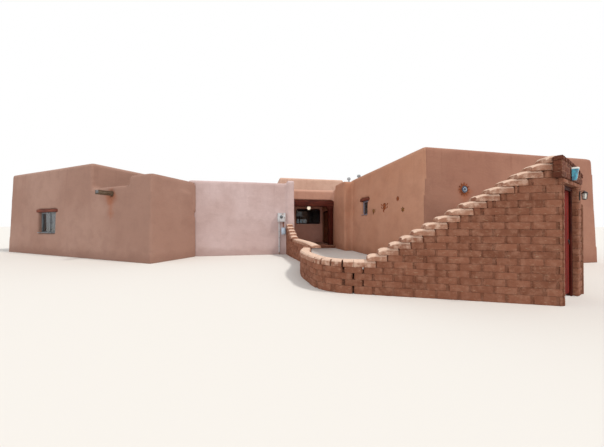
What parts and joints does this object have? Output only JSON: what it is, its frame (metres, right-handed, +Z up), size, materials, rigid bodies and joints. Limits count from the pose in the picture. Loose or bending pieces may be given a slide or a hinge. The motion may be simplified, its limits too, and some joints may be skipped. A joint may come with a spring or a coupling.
{
  "type": "adobe house",
  "caption": "Low flat-roofed adobe house with battered mud walls, a beam-fronted porch, an angled wing and a stepped, winding brick garden wall with a hooded gate.",
  "frame": {"origin": "on the ground in the front plane of the porch, under the porch floor", "axes": "+X to the right along the fronts, +Y into the house, +Z up"},
  "size_m": [23.632, 17.3047, 4.46],
  "materials": {
    "hall_stucco": "rough lime-washed mud plaster",
    "east_stucco": "rough mud plaster",
    "west_stucco": "rough mud plaster",
    "adobe_brick": "bare adobe brick with mud joints",
    "coping_brick": "weathered adobe brick",
    "roofing": "gravelled roof",
    "floor_clay": "clay tile and earth floor",
    "red_wood": "stained, dull",
    "dark_wood": "stained, weathered",
    "gate_wood": "painted boards, weathered",
    "dark_frame": "satin",
    "pale_frame": "painted",
    "window_glass": "clear",
    "lamp_glass": "opal",
    "meter_paint": "satin",
    "vent_metal": "weathered",
    "black_iron": "painted",
    "turquoise_glaze": "glossy",
    "rusty_iron": "rusted"
  },
  "bodies": {
    "house": {"east_front_wall": "east_stucco", "east_court_wall": "east_stucco", "east_outer_wall": "east_stucco", "east_back_wall": "east_stucco", "court_buttress": "east_stucco", "porch_east_wall": "east_stucco", "entry_door_head": "east_stucco", "entry_door_frame": "dark_wood", "portal_parapet": "east_stucco", "portal_beam": "red_wood", "portal_post": "dark_wood", "portal_corbel": "red_wood", "portal_vigas": "red_wood", "portal_deck": "red_wood", "porch_floor": "floor_clay", "porch_lamp": "lamp_glass", "hall_front_wall": "hall_stucco", "hall_west_wall": "hall_stucco", "hall_east_wall": "hall_stucco", "hall_back_wall": "hall_stucco", "west_front_wall": "west_stucco", "entry_pier": "west_stucco", "west_outer_wall": "west_stucco", "west_back_wall": "west_stucco", "wing_front_wall": "west_stucco", "wing_end_wall": "west_stucco", "wing_back_wall": "west_stucco", "wing_party_wall": "west_stucco", "low_front_wall": "west_stucco", "step_front_wall": "west_stucco", "step_side_wall": "west_stucco", "roof_decks": "roofing", "room_floors": "floor_clay", "window_lintels": "red_wood", "slider_frame": "dark_frame", "court_window_frame": "pale_frame", "plain_window_frames": "dark_wood", "window_glass": "window_glass", "canale": "dark_wood", "meter_boxes": "meter_paint", "roof_vents": "vent_metal", "garden_wall_low": "adobe_brick", "garden_wall_rise": "adobe_brick", "garden_wall_coping": "coping_brick", "gate_arch": "adobe_brick", "court_return_wall": "adobe_brick", "gate_frame": "gate_wood", "gate_lantern": "black_iron", "gate_pocket": "turquoise_glaze", "wall_ornaments": "rusty_iron", "sun_ornament": "rusty_iron"},
    "entry_door_leaf": {"entry_door": "dark_wood"},
    "garden_gate_leaf": {"garden_gate": "gate_wood"}
  },
  "joints": [
    {"name": "entry_door_hinge", "type": "hinge", "parent": "house", "child": "entry_door_leaf", "pos_m": [1.307, 2.1875, 1.18], "axis": [0, 0, 1], "range_deg": [0, 90]},
    {"name": "garden_gate_hinge", "type": "hinge", "parent": "house", "child": "garden_gate_leaf", "pos_m": [1.70148, -9.66053, 1], "axis": [0, 0, 1], "range_deg": [0, 100]}
  ]
}
